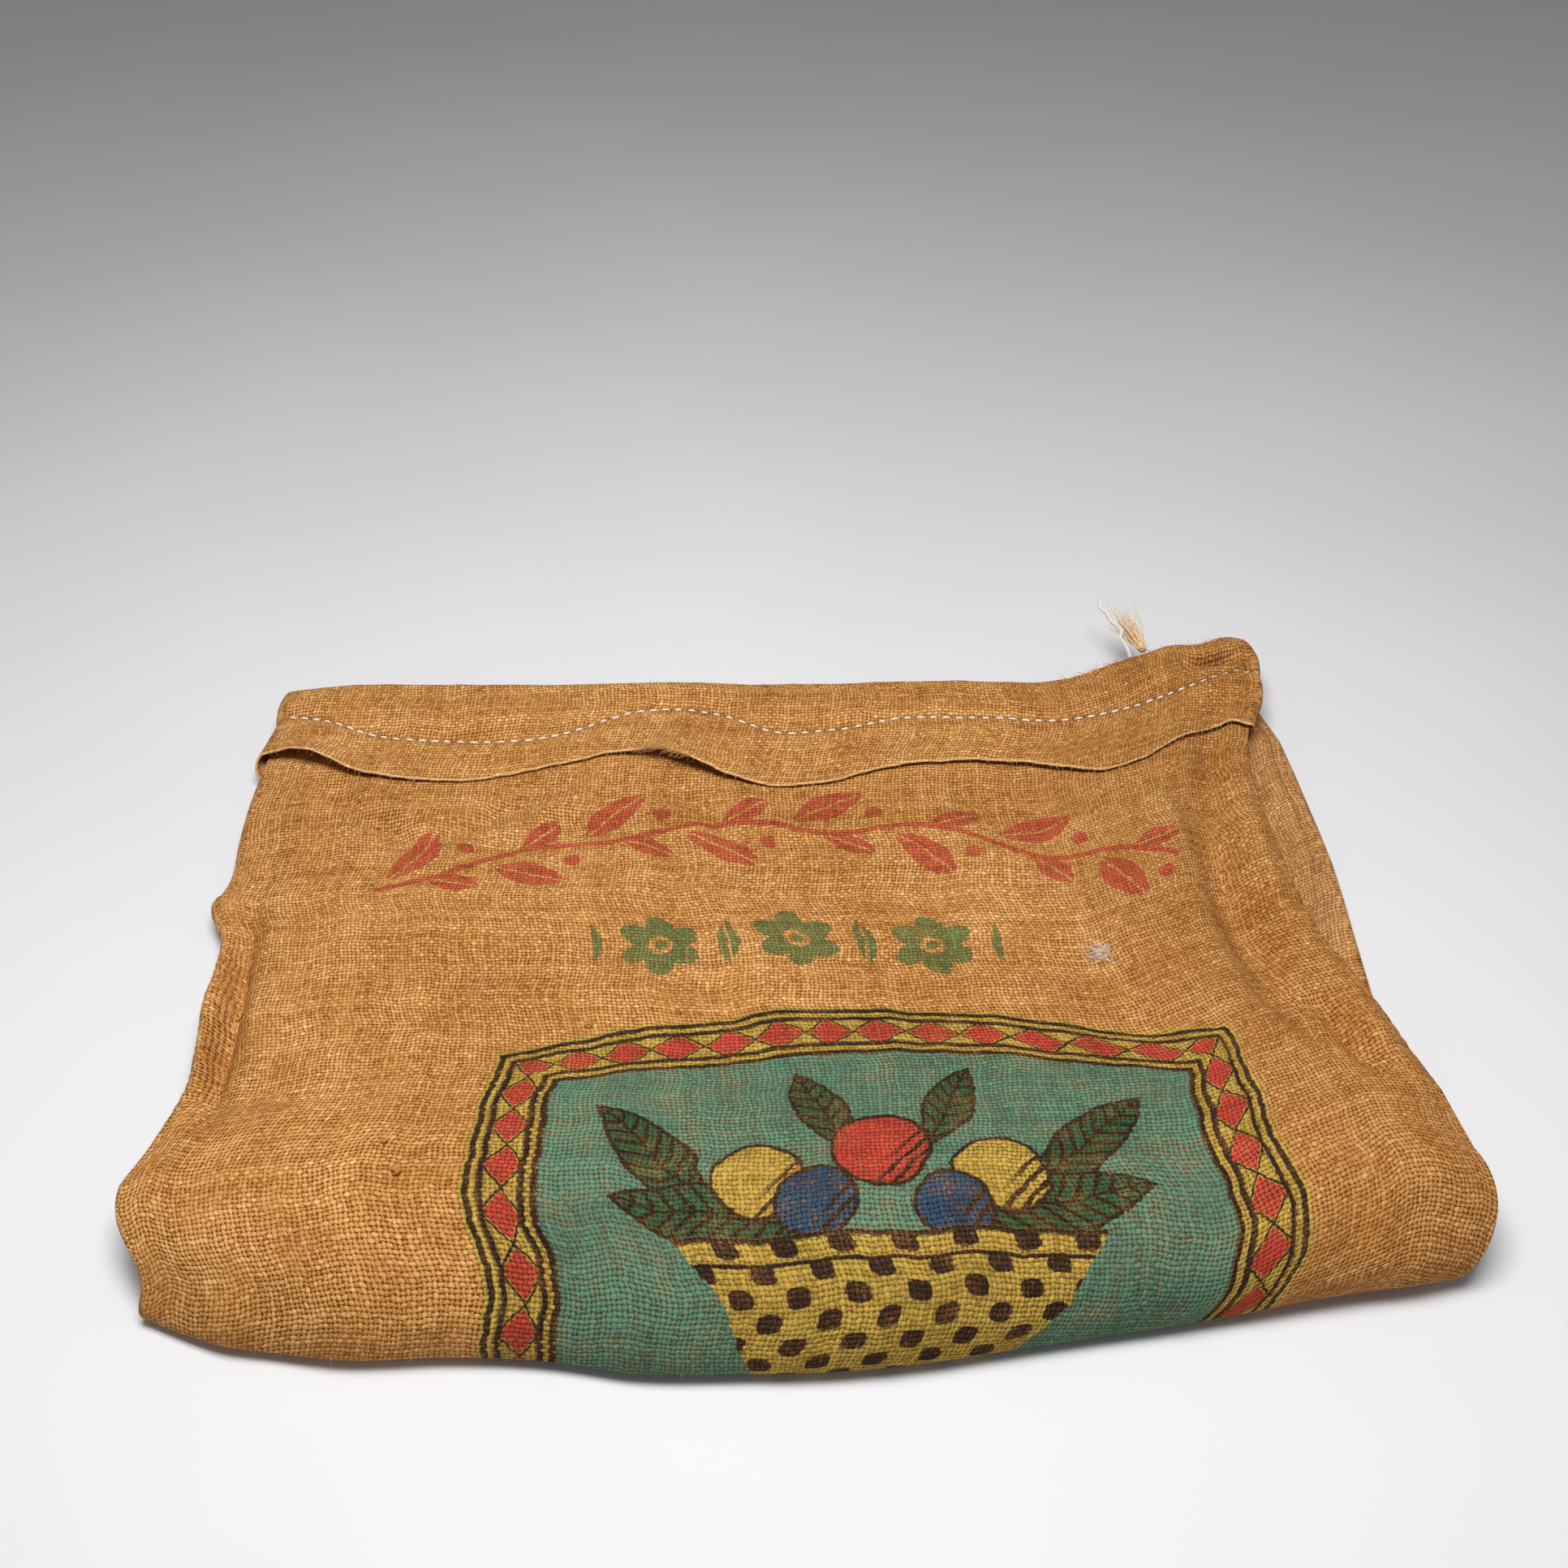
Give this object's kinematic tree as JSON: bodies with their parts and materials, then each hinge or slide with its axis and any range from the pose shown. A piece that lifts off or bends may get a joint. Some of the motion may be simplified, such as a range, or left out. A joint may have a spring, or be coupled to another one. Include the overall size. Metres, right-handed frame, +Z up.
{
  "type": "folded burlap bag",
  "caption": "Empty burlap sack with an outward hem, folded once across its middle and lying flat, with a loose thread end and a frayed yarn end at its mouth.",
  "frame": {"origin": "bottom centre of the box round the folded sack and its frayed yarn end, on the surface it lies on", "axes": "+X across the sack to its right side, +Y from the puffed fold to the mouth, +Z up"},
  "size_m": [0.598, 0.51, 0.0498],
  "materials": {
    "burlap": "coarse plain-woven jute, matt",
    "thread": "white cotton sewing thread, matt",
    "jute_yarn": "pale loose jute fibre"
  },
  "bodies": {
    "root": {"sack_cloth": "burlap", "thread_tail": "thread", "yarn_tuft": "jute_yarn"}
  },
  "joints": []
}
